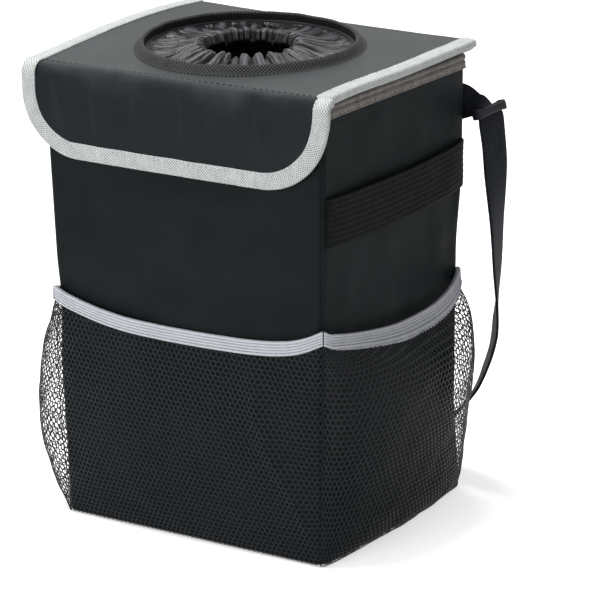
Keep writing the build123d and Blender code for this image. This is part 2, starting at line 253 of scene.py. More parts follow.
def newMaterial(name, look):
    material = bpy.data.materials.new(name)
    material.use_nodes = True
    tree = material.node_tree
    bsdf = tree.nodes["Principled BSDF"]
    bsdf.inputs["Roughness"].default_value = look["rough"]
    bsdf.inputs["Specular IOR Level"].default_value = look["gloss"]
    bsdf.inputs["Sheen Weight"].default_value = look.get("sheen", 0.0)
    bsdf.inputs["Sheen Roughness"].default_value = 0.4
    return material, tree, bsdf


def tint(colour, factor):
    return tuple(min(1.0, c * factor) for c in colour)


def wovenCloth(name, look):
    # Plain weave: threads in both directions, with cloudy changes of shade
    material, tree, bsdf = newMaterial(name, look)
    place3, _ = axes(tree, "Object")
    _, uv = axes(tree, "UV")
    weft, warp = (wave(tree, uv[k], look["thread"] * 0.002) for k in range(2))
    threads = calc(tree, "MULTIPLY", weft, warp)
    soft = cloudy(tree, place3, look["cloud"], 4.0)
    mixed = calc(tree, "ADD", calc(tree, "MULTIPLY", threads, 0.16), soft)
    stops = [(0.3, tint(look["colour"], 0.8)), (0.75, tint(look["colour"], 1.2))]
    if "foldLight" in look:  # painted light: paler where the cloth rolls over the fold
        away = calc(tree, "MULTIPLY", calc(tree, "ABSOLUTE", uv[1]), 1 / look["foldLightReach"])
        near = calc(tree, "MAXIMUM", calc(tree, "SUBTRACT", 1.0, away), 0.0)
        mixed = calc(tree, "ADD", mixed, calc(tree, "MULTIPLY", near, 0.5))
        stops.append((1.0, look["foldLight"]))
    if "crease" in look:  # painted shade down in the pleats, painted highlight on their crests
        crestHighlight = tree.nodes.new("ShaderNodeAttribute")
        crestHighlight.attribute_name = "crestHighlight"
        pale = calc(tree, "MULTIPLY", crestHighlight.outputs["Fac"], 0.85)
        mixed = calc(tree, "ADD", calc(tree, "MULTIPLY", mixed, 0.15), pale)
        stops = [(0.2, look["crease"]), (0.6, look["colour"]), (0.95, look["crestHighlight"])]
    tree.links.new(shade(tree, mixed, stops), bsdf.inputs["Base Color"])
    bump(tree, bsdf, calc(tree, "ADD", threads, calc(tree, "MULTIPLY", soft, 1.5)), look["relief"])
    return material


def ribbedTape(name, look):
    # Woven tape: mottled, with threads both ways, and ribs or stripes along it where the look asks for them
    material, tree, bsdf = newMaterial(name, look)
    place3, _ = axes(tree, "Object")
    _, uv = axes(tree, "UV")
    along = wave(tree, uv[0], look["along"] * 0.001)
    across = wave(tree, uv[1], look["across"] * 0.001)
    threads = calc(tree, "MULTIPLY", along, across)
    cloud = calc(tree, "SUBTRACT", cloudy(tree, place3, 0.006, 4.0), 0.5)
    mottle = calc(tree, "MULTIPLY", cloud, look.get("mottle", 1.0))
    mottle = calc(tree, "SUBTRACT", mottle, calc(tree, "MULTIPLY", across, look.get("stripe", 0.0)))
    grain = calc(tree, "ADD", calc(tree, "MULTIPLY", threads, look["contrast"]), calc(tree, "ADD", mottle, 0.5))
    stops = [(0.15, look["dark"]), (0.5, look["colour"]), (0.85, tint(look["colour"], 1.15))]
    tree.links.new(shade(tree, grain, stops), bsdf.inputs["Base Color"])
    ribs = calc(tree, "MULTIPLY", across, look.get("ribs", 0.0))
    bump(tree, bsdf, calc(tree, "ADD", threads, ribs), look["relief"])
    return material


def plainStuff(name, look):
    material, tree, bsdf = newMaterial(name, look)
    place3, _ = axes(tree, "Object")
    soft = cloudy(tree, place3, look["grain"], 5.0)
    stops = [(0.3, tint(look["colour"], 0.8)), (0.7, tint(look["colour"], 1.2))]
    tree.links.new(shade(tree, soft, stops), bsdf.inputs["Base Color"])
    bump(tree, bsdf, soft, look["relief"])
    return material


panelCloth = wovenCloth("blackCloth", dict(
    colour=(0.0115, 0.0140, 0.0150), rough=0.42, gloss=0.022, thread=0.7, relief=0.05, cloud=0.04))
lidCloth = wovenCloth("lidCloth", dict(
    colour=(0.0150, 0.0188, 0.0196), rough=0.5, gloss=0.30, sheen=0.05, thread=0.7, relief=0.05, cloud=0.05))
# The flap's cloth carries painted light, paler on its roll over the fold
flapStuff = wovenCloth("flapCloth", dict(
    colour=(0.0066, 0.0093, 0.0113), rough=0.47, gloss=0.08, sheen=0.015, foldLight=(0.031, 0.036, 0.040), foldLightReach=0.022,
    thread=0.7, relief=0.05, cloud=0.03))
liningCloth = wovenCloth("liningCloth", dict(
    colour=(0.13, 0.135, 0.135), rough=0.45, gloss=0.3, thread=0.5, relief=0.04, cloud=0.02))
# Satin of the collar, with painted shade in its pleats and painted highlight on their crests
collarCloth = wovenCloth("collarSatin", dict(
    colour=(0.0125, 0.0128, 0.0150), crease=(0.0018, 0.0018, 0.0022), crestHighlight=(0.074, 0.076, 0.084), rough=0.25,
    gloss=0.25, thread=0.3, relief=0.02, cloud=0.02))
greyTape = ribbedTape("greyTape", dict(
    colour=(0.50, 0.52, 0.51), dark=(0.17, 0.18, 0.18), rough=0.75, gloss=0.15, sheen=0.03, along=1.75, across=1.75,
    contrast=0.42, mottle=0.4, relief=0.14))
taupeTape = ribbedTape("taupeTape", dict(
    colour=(0.165, 0.152, 0.142), dark=(0.06, 0.055, 0.052), rough=0.65, gloss=0.15, sheen=0.02, along=9.0,
    across=1.5, contrast=0.16, mottle=0.8, relief=0.12, ribs=0.8))
ringWeave = ribbedTape("ringWeave", dict(
    colour=(0.042, 0.044, 0.041), dark=(0.004, 0.004, 0.004), rough=0.6, gloss=0.10, sheen=0.02, along=2.2,
    across=2.2, contrast=0.95, mottle=0.7, relief=0.2))
trimElastic = ribbedTape("trimElastic", dict(
    colour=(0.46, 0.47, 0.51), dark=(0.22, 0.23, 0.25), rough=0.65, gloss=0.15, sheen=0.03, along=1.1, across=1.692,
    contrast=0.10, mottle=0.3, stripe=0.22, relief=0.1))
strapWebbing = ribbedTape("strapWebbing", dict(
    colour=(0.0110, 0.0125, 0.0170), dark=(0.005, 0.0057, 0.0075), rough=0.55, gloss=0.025, along=2.0, across=2.0,
    contrast=0.3, relief=0.12))
bandWebbing = ribbedTape("bandWebbing", dict(
    colour=(0.0090, 0.0102, 0.0100), dark=(0.0035, 0.004, 0.004), rough=0.55, gloss=0.03, along=1.6, across=3.4,
    contrast=0.3, relief=0.25, ribs=1.2))
netCord = plainStuff("netCord", dict(colour=(0.0135, 0.0155, 0.0185), rough=0.36, gloss=0.12, grain=0.002, relief=0.05))
boardStuff = plainStuff("boardStuff", dict(colour=(0.10, 0.085, 0.07), rough=0.8, gloss=0.2, grain=0.004, relief=0.1))
sliderPlastic = plainStuff("sliderPlastic", dict(
    colour=(0.011, 0.012, 0.015), rough=0.42, gloss=0.12, grain=0.001, relief=0.02))
hookStuff = plainStuff("hookStuff", dict(
    colour=(0.012, 0.012, 0.014), rough=0.85, gloss=0.15, sheen=0.15, grain=0.0008, relief=0.4))
hemStuff = plainStuff("hemStuff", dict(colour=(0.012, 0.012, 0.014), rough=0.45, gloss=0.2, grain=0.003, relief=0.1))
blackThread = plainStuff("blackThread", dict(
    colour=(0.008, 0.0095, 0.011), rough=0.5, gloss=0.1, grain=0.001, relief=0.03))
greyThread = plainStuff("greyThread", dict(colour=(0.40, 0.41, 0.42), rough=0.55, gloss=0.3, grain=0.001, relief=0.03))
taupeThread = plainStuff("taupeThread", dict(
    colour=(0.33, 0.31, 0.29), rough=0.55, gloss=0.3, grain=0.001, relief=0.03))
# Painted shade: darker stuff for the binding's inner wall and underside
ringPaintedShade = plainStuff("ringPaintedShade", dict(
    colour=(0.006, 0.0065, 0.0065), rough=0.7, gloss=0.06, grain=0.0015, relief=0.25))
trimThread = plainStuff("trimThread", dict(colour=(0.22, 0.225, 0.24), rough=0.6, gloss=0.2, grain=0.001, relief=0.03))
print("stage: materials")

# Camera, fitted to the corners of lid and base
view = dict(azimuth=33.796, elevation=18.402, roll=-1.391, distance=2.3286, lens=232.07, targetZ=0.138,
            shiftX=-0.027793, shiftY=0.016283)
az, el, roll = (math.radians(view[k]) for k in ("azimuth", "elevation", "roll"))
backDir = Vector((math.sin(az) * math.cos(el), -math.cos(az) * math.cos(el), math.sin(el)))
right0 = Vector((math.cos(az), math.sin(az), 0))
up0 = backDir.cross(right0)
rightDir = math.cos(roll) * right0 + math.sin(roll) * up0
upDir = -math.sin(roll) * right0 + math.cos(roll) * up0
lens = bpy.data.cameras.new("camera")
lens.lens = view["lens"]
lens.sensor_width = 36.0
lens.clip_end = 50.0
camera = addObject("camera", lens)
spot = Vector((0, 0, view["targetZ"])) + backDir * view["distance"]
spot = spot - rightDir * view["shiftX"] - upDir * view["shiftY"]
turn = Matrix((rightDir, upDir, backDir)).transposed()
camera.matrix_world = Matrix.Translation(spot) @ turn.to_4x4()
scene.camera = camera

# Hanging strap: the route's points from the part, and the way the width lies at each
strap = dict(width=25.0, thick=1.6, wave=0.25)
strapHalf = [  # point, way that the width lies, share of the width that shows before the slider gathers it
    ((0.08420, 0.0745, 0.241), (0, 0, 1), 0.96),
    ((0.09220, 0.0745, 0.241), (0, 0, 1), 0.94),
    ((0.09720, 0.0765, 0.2402), (0, 0.15, 1), 0.82),
    ((0.10370, 0.0790, 0.2386), (0.1, 0.7, 0.7), 0.56),
    ((0.11070, 0.0806, 0.2376), (0.2, 0.88, -0.43), 0.80),
    ((0.11270, 0.0800, 0.2320), (0.1, 0.95, -0.30), 1.0),
    ((0.11470, 0.0815, 0.206), (0, 1, -0.03), 1.0),
    ((0.11430, 0.0835, 0.1505), (-0.31, 0.95, -0.05), 1.0),
    ((0.11230, 0.0855, 0.0990), (-0.60, 0.80, -0.15), 1.0),
    ((0.09960, 0.0885, 0.0655), (-0.56, 0.79, -0.28), 1.0),
    ((0.07870, 0.0925, 0.036), (-0.1, 0.97, 0.1), 1.0),
    ((0.04570, 0.0945, 0.020), (0, 1, 0), 1.0),
]
strapLow = [((0.0, 0.0955, 0.016), (0, 1, 0), 1.0)]
strapRoute = strapHalf + strapLow + [((-p[0], *p[1:]), (-w[0], *w[1:]), f) for p, w, f in reversed(strapHalf)]


def splinePoints(route):
    curve = bpy.data.curves.new("strapLine", "CURVE")
    curve.dimensions = "3D"
    curve.resolution_u = 16
    spline = curve.splines.new("NURBS")
    spline.points.add(len(route) - 1)
    for point, place3 in zip(spline.points, route):
        point.co = (*place3, 1.0)
    spline.order_u = 3
    spline.use_endpoint_u = True
    holder = bpy.data.objects.new("strapLine", curve)
    mesh = bpy.data.meshes.new_from_object(holder)
    points = np.array([v.co[:] for v in mesh.vertices])
    bpy.data.meshes.remove(mesh)
    bpy.data.objects.remove(holder)
    bpy.data.curves.remove(curve)
    return points


strapLine = splinePoints([p for p, _, _ in strapRoute]) * 1000
strapCount = len(strapRoute)
strapOrder = np.arange(strapCount)
knot = np.linspace(0, strapCount - 2, len(strapLine))  # the spline's own parameter at each of its points
station = np.where(knot > strapCount - 2.5, 2 * knot - strapCount + 3, knot + 0.5)
station = np.clip(np.where(knot < 0.5, 2 * knot, station), 0, strapCount - 1)
strapWays = np.array([unit(w) for _, w, _ in strapRoute])
strapAcross = np.stack([np.interp(station, strapOrder, strapWays[:, k]) for k in range(3)], -1)
strapFull = np.interp(station, strapOrder, [f for _, _, f in strapRoute])[:, None]
strapRun = unit(np.gradient(strapLine, axis=0))
strapAcross = unit(strapAcross - (strapAcross * strapRun).sum(-1, keepdims=True) * strapRun)
strapFace = np.cross(strapRun, strapAcross)
strapS = lengthsAlong(strapLine)
halfW, halfT = strap["width"] / 2, strap["thick"] / 2
strapTop = [(-halfW + 0.3, halfT * 0.8), (-halfW + 1.2, halfT), (-halfW / 2, halfT), (0, halfT), (halfW / 2, halfT),
            (halfW - 1.2, halfT), (halfW - 0.3, halfT * 0.8)]
strapSection = [(-halfW, 0)] + strapTop + [(halfW, 0)] + [(a, -b) for a, b in reversed(strapTop)]
ripple = strap["wave"] * np.sin(strapS / 9.0)[:, None]
strapPoints = np.stack([strapLine + strapAcross * a * strapFull + strapFace * (b + ripple * (a / halfW))
                        for a, b in strapSection], 1)
strapV = lengthsAlong(closed(np.array(strapSection, float)))
strapUv = np.stack(np.broadcast_arrays(strapS[:, None] * 0.001, strapV[None] * 0.001), -1)
hangingStrap = gridObject("hangingStrap", strapPoints, strapUv, strapWebbing, wrapCols=True, flip=True)
place(hangingStrap, "bin", "webbing", "hanging_strap")

# Slider where the strap turns down: a rounded loop round the gathered strap
slider = dict(at=(110.8, 80.9, 236.2), length=4.6, wall=2.2, clear=0.4, share=0.87)
sliderAt, sliderAcross, sliderRun = np.array(slider["at"]), unit([0.2, 0.9, -0.36]), unit([0.28, 0, -1.0])
sliderAcross = unit(sliderAcross - sliderAcross.dot(sliderRun) * sliderRun)
sliderFace = np.cross(sliderRun, sliderAcross)
room = slider["clear"] + slider["wall"] / 2
loopA, loopB = halfW * slider["share"] + room, halfT + room
angles = np.linspace(0, 2 * math.pi, 64, endpoint=False)
loopLine = np.stack(squareTurn(angles, 0.25), -1) * np.array([loopA, loopB])
loopOut = unit(np.stack([np.cos(angles) / loopA, np.sin(angles) / loopB], -1))
turns = np.linspace(0, 2 * math.pi, 16, endpoint=False)
wallOut, wallRun = slider["wall"] / 2 * squareTurn(turns, 0.6)[0], slider["length"] / 2 * squareTurn(turns, 0.5)[1]
sliderGrid = []
for (a, b), (oa, ob) in zip(loopLine, loopOut):
    fat = 1 + 0.35 * abs(a / loopA) ** 8  # the ends are fuller than the bars
    out, run = (fat * wallOut)[:, None], (fat * wallRun)[:, None]
    sliderGrid.append(sliderAt + sliderAcross * (a + oa * out) + sliderFace * (b + ob * out) + sliderRun * run)
strapSlider = gridObject("strapSlider", np.array(sliderGrid), np.zeros((65, 17, 2)), sliderPlastic, wrapRows=True,
                         wrapCols=True)
place(strapSlider, "bin", "slider", "strap_slider")
print("stage: camera and strap", round(float(strapS[-1]), 1), "mm")

# Box: four cloth panels that meet at the corner seams, the base and the lining
box = dict(top=269.6, widthTop=193.0, widthBottom=178.0, depth=147.4, corner=3.5, thick=3.0, foot=1.8, puff=1.4,
           bow=5.0, wrinkle=0.8, lift=3.0, flare=3.2, footBow=3.0, fullRight=3.2, fullLeft=1.3, fullLow=3.0, seam=0.9)


def topLift(x, y):
    # The bin's top stands a little higher towards its right front corner
    right, front = np.clip((np.asarray(x) + 100) / 200, 0, 1), np.clip((75 - np.asarray(y)) / 150, 0, 1)
    return box["lift"] * right * front + 0.3


def spread(points):
    # The box is a little fuller at its right back edge and along its left side
    points = np.array(points, float)
    x, y, z = points[..., 0].copy(), points[..., 1], points[..., 2]
    points[..., 0] += box["fullRight"] * ramp(0, 95, x) * ramp(-75, 75, y) * ramp(150, 205, z)
    left = box["fullLeft"] * ramp(130, 160, z) * ramp(262, 240, z)
    left = left + box["fullLow"] * ramp(6, 60, z) * ramp(138, 85, z)
    points[..., 0] -= left * ramp(0, -90, x)
    return points


def lifted(points):
    # The same points moved up with the top, less and less towards the middle
    points = spread(points)
    points[..., 2] += topLift(points[..., 0], points[..., 1]) * ramp(200.0, 268.0, points[..., 2])
    return points


def boxHalf(z):
    return (box["widthBottom"] + (box["widthTop"] - box["widthBottom"]) * np.asarray(z, float) / box["top"]) / 2


panelWays = dict(  # directions along each panel and out of it
    front=((1, 0), (0, -1)), back=((-1, 0), (0, 1)), right=((0, 1), (1, 0)), left=((0, -1), (-1, 0)))


def panelOutline(side, z, straight=44, arc=7):
    # Points, outward directions and running length of one panel's outline at a height
    hx, hy, r = float(boxHalf(z)), box["depth"] / 2, box["corner"]
    along, out = (hx, hy) if side in ("front", "back") else (hy, hx)
    turns = np.linspace(-math.pi / 4, 0, arc)
    na = np.concatenate([np.sin(turns), np.zeros(straight - 2), -np.sin(turns[::-1])])
    nb = np.concatenate([np.cos(turns), np.ones(straight - 2), np.cos(turns[::-1])])
    middle = np.linspace(-along + r, along - r, straight)[1:-1]
    a = np.concatenate([np.full(arc, -along + r), middle, np.full(arc, along - r)]) + r * na
    b = out - r + r * nb
    alongDir, outDir = (np.array(w, float) for w in panelWays[side])
    return a[:, None] * alongDir + b[:, None] * outDir, na[:, None] * alongDir + nb[:, None] * outDir, a


panelLevels = [np.linspace(0.4, 12, 9), np.linspace(12, 262, 84), np.linspace(262, box["top"], 4)]
panelLevels = np.unique(np.concatenate(panelLevels))


def panelPiece(side, seed):
    outer, inner, away, uv = [], [], [], []
    for z in panelLevels:
        flat, out, along = panelOutline(side, z)
        tuck = box["foot"] - math.sqrt(box["foot"] ** 2 - max(0.0, box["foot"] - z) ** 2)
        outer.append(raised(flat - out * tuck, z))
        inner.append(raised(flat - out * max(box["thick"], tuck + 1.5), z))
        away.append(raised(out, 0.0))
        uv.append(raised(along, z) * 0.001)
    outer, inner, away, uv = (np.array(rows) for rows in (outer, inner, away, uv))
    half = np.abs(uv[:, :, 0]).max(axis=1, keepdims=True) * 1000
    across = uv[:, :, 0] * 1000 / half
    z = outer[:, :, 2]
    lift = box["puff"] * (1 - across ** 2) * np.sin(np.clip(z / box["top"], 0, 1) * math.pi)
    if side == "front":
        bow = np.sin(math.pi * (np.clip(across, -1, 1) / 2 + 0.5) ** 1.6)
        lift = lift + box["bow"] * bow * ramp(20, 130, z) * ramp(238, 200, z)
    creases = lumps(outer * np.array([1, 1, 0.22]), 17.0, seed) * 0.55 + lumps(outer, 38.0, seed + 3, 3) * 0.9
    lift = lift + box["wrinkle"] * creases * ramp(2, 25, z) * ramp(1.0, 0.9, np.abs(across)) * ramp(270, 250, z)
    seam = -box["seam"] * np.exp(-((half - np.abs(across) * half) / 1.1) ** 2)
    flare = box["flare"] * ramp(60, 3, z)  # the cloth spreads a little at the foot
    lift = lift + flare
    if side == "right":
        lift = lift + box["footBow"] * (1 - across ** 2) * ramp(50, 3, z)
    outer = outer + away * (lift + seam)[:, :, None]
    inner = inner + away * flare[:, :, None]
    shell = lifted(np.concatenate([outer, inner[::-1]], 0))
    shellUv = np.concatenate([uv, uv[::-1], uv[:1]], 0)
    piece = gridObject(side + "Cloth", shell, shellUv, panelCloth, wrapRows=True)
    place(piece, "bin", "black_fabric", side + "_panel")


for number, side in enumerate(("front", "right", "back", "left")):
    panelPiece(side, 11.3 * number + 2.0)


def roundedLoop(z, grow, straight=30, arc=8):
    # Closed outline round the whole box at a height, moved outwards by grow, with its outward directions
    hx, hy, r = float(boxHalf(z)) + grow, box["depth"] / 2 + grow, max(box["corner"] + grow, 0.5)
    middles = [(hx - r, -hy + r), (hx - r, hy - r), (-hx + r, hy - r), (-hx + r, -hy + r)]
    share = np.linspace(0, 1, straight)[1:-1, None]
    points, outs = [], []
    for k in range(4):
        t = np.radians(np.linspace(90 * k - 90, 90 * k, arc))
        out = np.column_stack([np.cos(t), np.sin(t)])
        last, following = np.array(middles[k]) + r * out[-1], np.array(middles[(k + 1) % 4]) + r * out[-1]
        points += [np.array(middles[k]) + r * out, last * (1 - share) + following * share]
        outs += [out, np.tile(out[-1], (straight - 2, 1))]
    return np.concatenate(points), np.concatenate(outs)


baseRings = []
baseLoop, _ = roundedLoop(2.0, box["flare"])
hx, hy = float(boxHalf(2.0)) + box["flare"], box["depth"] / 2 + box["flare"]
for inset, z in ((1.2, 1.3), (2.2, 0.5), (5.0, 0.3), (9.0, 0.35), (20, 0.5), (40, 0.6), (60, 0.6), (69, 0.6)):
    scaled = baseLoop * np.array([(hx - inset) / hx, (hy - inset) / hy])
    scaled[:, 0] += box["footBow"] * (1 - (scaled[:, 1] / hy) ** 2) * ramp(0.4, 1.0, scaled[:, 0] / hx)
    baseRings.append(raised(scaled, z))
baseLow = np.array(baseRings)
baseLow[:, :, 2] += 0.25 * lumps(baseLow, 22.0, 5.0) * ramp(0.32, 0.5, baseLow[:, :, 2])
baseHigh = baseLow[::-1].copy()
baseHigh[:, :, 2] = 2.9
baseShell = np.concatenate([baseLow, baseHigh], 0)
baseCloth = gridObject("baseCloth", baseShell, planUv(baseShell), panelCloth, wrapRows=True, wrapCols=True, flip=True)
place(baseCloth, "bin", "black_fabric", "base_panel")

liningSize = dict(inset=3.6, floor=5.6, sag=0.8)
liningRows = []
for z, extra in [(liningSize["floor"], e) for e in (66, 45, 25, 12, 5)] + [(liningSize["floor"] + 0.4, 1.5)]:
    loop, _ = roundedLoop(z, -liningSize["inset"])
    hx, hy = np.abs(loop).max(axis=0)
    liningRows.append(raised(loop * np.array([(hx - extra) / hx, (hy - extra) / hy]), z))
for z in np.linspace(8, 269.0, 60):
    loop, out = roundedLoop(z, -liningSize["inset"])
    uneven = 0.5 + 0.5 * lumps(raised(loop, z) * np.array([1, 1, 0.4]), 21.0, 8.0)
    slack = liningSize["sag"] * uneven * ramp(6, 25, z) * ramp(269, 252, z)
    liningRows.append(raised(loop - out * slack[:, None], z))
liningGrid = lifted(np.array(liningRows))
liningUv = gridUv(lengthsAlong(closed(liningGrid[30])) * 0.001, lengthsAlong(liningGrid[:, 0]) * 0.001)
lining = gridObject("lining", liningGrid, liningUv, liningCloth, wrapCols=True, flip=True)
thicken(lining, 0.5, -1.0)
place(lining, "bin", "lining", "liner")
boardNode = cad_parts["base_board"]
boardNode.data.materials.clear()
boardNode.data.materials.append(boardStuff)
print("stage: box")

# Tape folded over the rim
rim = dict(low=262.0, top=270.4, tape=0.9, inner=4.9, wave=0.15)
rimFace = ((0.5, 0.1), (0.6, 0.7), (0.1, 1.3), (0.35, 2.4), (0.3, 3.6), (-0.2, 4.3), (-0.9, 4.7), (-0.1, 5.2),
           (0.25, 6.2), (0.1, 7.4))  # out from the tape's thickness, up from its lower edge
rimSection = [(0.05, rim["low"])] + [(rim["tape"] + a, rim["low"] + b) for a, b in rimFace]
rimSection += [(0.2, rim["top"] - 0.3), (-2.0, rim["top"]), (-4.0, rim["top"] - 0.2),
               (-rim["inner"] + 0.2, rim["top"] - 1.0), (-rim["inner"], rim["low"] + 5),
               (-rim["inner"], rim["low"] + 0.3), (-4.0, rim["low"])]
rimRows = []
for grow, z in rimSection:
    loop, out = roundedLoop(z, grow, straight=60)
    stray = rim["wave"] * lumps(raised(loop, z), 9.0, 1.0)
    rimRows.append(raised(loop + out * (stray * (1 if grow > 0 else -1))[:, None], z))
rimGrid = lifted(rimRows)
rimUv = gridUv(lengthsAlong(closed(rimGrid[1])) * 0.001, lengthsAlong(rimGrid[:, 0]) * 0.001)
rimTape = gridObject("rimTape", rimGrid, rimUv, taupeTape, wrapCols=True)
place(rimTape, "bin", "rim_tape", "rim_binding")
seamZ = rim["low"] + 1.7
seamLoop, seamOut = roundedLoop(seamZ, rim["tape"] + 0.2, straight=60)
rimStitches = stitchRow("rimStitches", lifted(raised(seamLoop, seamZ)), raised(seamOut, 0), taupeThread, 2.6, 1.3, 0.5)
place(rimStitches, "bin", "rim_tape")

# Pockets: the net hangs on a bulging surface, and the ribbed elastic runs along its mouth
pocket = dict(fullness=0.87, inset=1.93, trim=9.0, trimThick=2.6, ribs=5, ribDepth=0.5, cell=3.3, sideCell=3.7,
              cord=0.47, jitter=0.22, slack=0.9, crease=2.4, netThick=0.4, mouthTop=140.0, flange=3.5, footFlange=1.2,
              cornerOut=4.6)
pouchSizes = dict(front=(90.0, 10.0), right=(71.8, 38.0), left=(71.8, 38.0))  # half the width and depth, for its run
pouchProfiles = dict(  # depth at each height, with the mouth at 140
    front=((0.5, 2.6), (6, 4.8), (20, 7.5), (62, 10.5), (118, 9.0), (130, 7.6), (140, 6.6)),
    right=((0.5, 4.6), (5.6, 11.6), (22, 20.8), (36, 22.8), (54, 26), (75, 31.5), (89, 33.4), (102, 33.6), (112, 32.4),
           (121, 28.5), (127, 21), (131, 13), (135, 8.5), (140, 6.5)),
    left=((0.5, 3.4), (7, 18), (15, 30), (23, 36), (34, 41.2), (46, 43.6), (62, 42.8), (82, 39), (97, 33.8),
          (114, 25.4), (124, 18), (131, 11), (135, 8.5), (140, 6.5)))
mouthLines = dict(  # height of each mouth's upper edge, from its left end to its right as seen from outside
    front=((-1, 141.3), (-0.97, 140.3), (-0.815, 136.8), (-0.65, 134.0), (-0.45, 131.8), (-0.17, 131.0), (0.1, 131.1),
           (0.32, 131.6), (0.53, 132.5), (0.7, 134.2), (0.8, 136), (0.9, 139.2), (1, 144)),
    right=((-1, 144), (-0.96, 141.8), (-0.88, 140.2), (-0.62, 136), (-0.35, 132.2), (-0.05, 129.2), (0.25, 128.3),
           (0.58, 129.2), (0.76, 131.8), (0.9, 136), (1, 140)),
    left=((-1, 140), (-0.78, 136), (-0.36, 132), (0.25, 131), (0.7, 134), (1, 141)))
trimEnds = dict(front=(0, 1.0), right=(3.5, 0), left=(0, 0))  # a narrow gap where two trims meet at the corner seam


class Pouch:
    def __init__(self, side):
        self.side = side
        self.profile = pouchProfiles[side]
        a = np.linspace(-math.pi / 2, math.pi / 2, 721)
        half, deep = pouchSizes[side]
        line = np.stack([half * np.sin(a), deep * np.cos(a) ** pocket["fullness"]], -1)
        self.runTable, self.angleTable = lengthsAlong(line), a
        zs = np.linspace(1, 142, 400)
        self.riseTable = lengthsAlong(np.stack([zs, curveAt(self.profile, zs)], -1))
        self.levelTable = zs
        self.run, self.rise = self.runTable[-1], self.riseTable[-1]

    def point(self, u, z):
        # u runs in mm from one seam of the pocket to the other; the front corners' seams stand a little proud
        a = np.interp(u, self.runTable, self.angleTable)
        share = np.sin(a)
        full = np.clip(np.cos(a), 0, 1) ** pocket["fullness"]
        deep = curveAt(self.profile, np.clip(z * pocket["mouthTop"] / self.mouth(u), 0.5, 140)) * full
        proud = pocket["flange"] + pocket["footFlange"] * ramp(90, 10, z)
        if self.side == "front":
            x = (boxHalf(z) - pocket["inset"]) * share + np.clip(share, 0, 1) * pocket["cornerOut"]
            return spread(np.stack([x, -box["depth"] / 2 - proud - deep + 0.6 * proud * full, z + 0 * a], -1))
        sign = 1 if self.side == "right" else -1
        front = (1 - sign * share) / 2
        along = (box["depth"] / 2 - pocket["inset"]) * share * sign - (proud + pocket["inset"]) * front
        edge = (pocket["cornerOut"] - pocket["inset"]) * front if self.side == "right" else -pocket["inset"] * front
        return spread(np.stack([sign * (boxHalf(z) + edge + deep), along, z + 0 * a], -1))

    def normal(self, u, z):
        du = self.point(np.clip(u + 0.4, 0, self.run), z) - self.point(np.clip(u - 0.4, 0, self.run), z)
        dz = self.point(u, z + 0.4) - self.point(u, z - 0.4)
        return unit(np.cross(du, dz))

    def mouth(self, u):
        # Height of the mouth's upper edge
        return curveAt(mouthLines[self.side], np.sin(np.interp(u, self.runTable, self.angleTable)))

    def cloth(self, u, v, seed):
        # Point of the slack net, v in mm up from the bottom seam
        z = np.interp(v, self.riseTable, self.levelTable)
        base = self.point(u, z)
        edge = ramp(0, 14, u) * ramp(0, 14, self.run - u) * ramp(0, 10, v)
        slack = pocket["slack"] * lumps(base, 19.0, seed, 2)
        if self.side == "front":  # a long soft crease from the mouth to the right foot
            away = u - curveAt(((0, 182), (30, 172), (70, 150), (100, 143), (150, 141)), v)
            high = pocket["crease"] * ramp(4, 30, v) * ramp(self.rise - 12, self.rise - 45, v)
            slack = slack + high * np.exp(-(away / 5.5) ** 2)
        return base + self.normal(u, z) * (slack * edge)[..., None]


def netPiece(side, seed):
    pouch = Pouch(side)
    pitch = pocket["cell"] if side == "front" else pocket["sideCell"]
    edge = pitch / math.sqrt(3)
    rows = int(pouch.rise / (1.5 * edge)) + 1
    cols = int(pouch.run / pitch) + 1
    wide = pouch.run / cols
    centres = np.array([((c + 0.5 * (r % 2)) * wide, r * 1.5 * edge) for r in range(rows) for c in range(cols + 1)])
    half = wide / 2
    cell = [(0, edge), (-half, edge / 2), (-half, -edge / 2), (0, -edge), (half, -edge / 2), (half, edge / 2)]
    spots = np.concatenate([cell, np.array(cell) * (1 - pocket["cord"] / (pitch * 0.866))])
    flat = centres[:, None] + spots[None]
    inside = (flat[:, :6, 0].min(1) > -0.51 * wide) & (flat[:, :6, 0].max(1) < pouch.run + 0.51 * wide)
    level = np.interp(centres[:, 1], pouch.riseTable, pouch.levelTable)
    top = pouch.mouth(np.clip(centres[:, 0], 0, pouch.run)) - pocket["trim"] + 2.5
    flat = flat[inside & (level < top)]
    keys, back = np.unique(np.round(flat.reshape(-1, 2), 3), axis=0, return_inverse=True)
    u, v = np.clip(keys[:, 0], 0, pouch.run), np.clip(keys[:, 1], 0, pouch.rise)
    jitter = lumps(raised(keys * 3.1, 0.0), 7.0, seed) * pocket["jitter"]
    points = pouch.cloth(np.clip(u + jitter, 0, pouch.run), v, seed)
    back = back.reshape(-1, 12)
    sides = [(k, (k + 1) % 6, 6 + (k + 1) % 6, 6 + k) for k in range(6)]
    faces = np.concatenate([back[:, corners] for corners in sides])
    piece = makeObject(side + "Net", points, faces, None, netCord)
    thicken(piece, pocket["netThick"], 0.0)
    place(piece, "bin", "net", side + "_pocket_mesh")
    return pouch


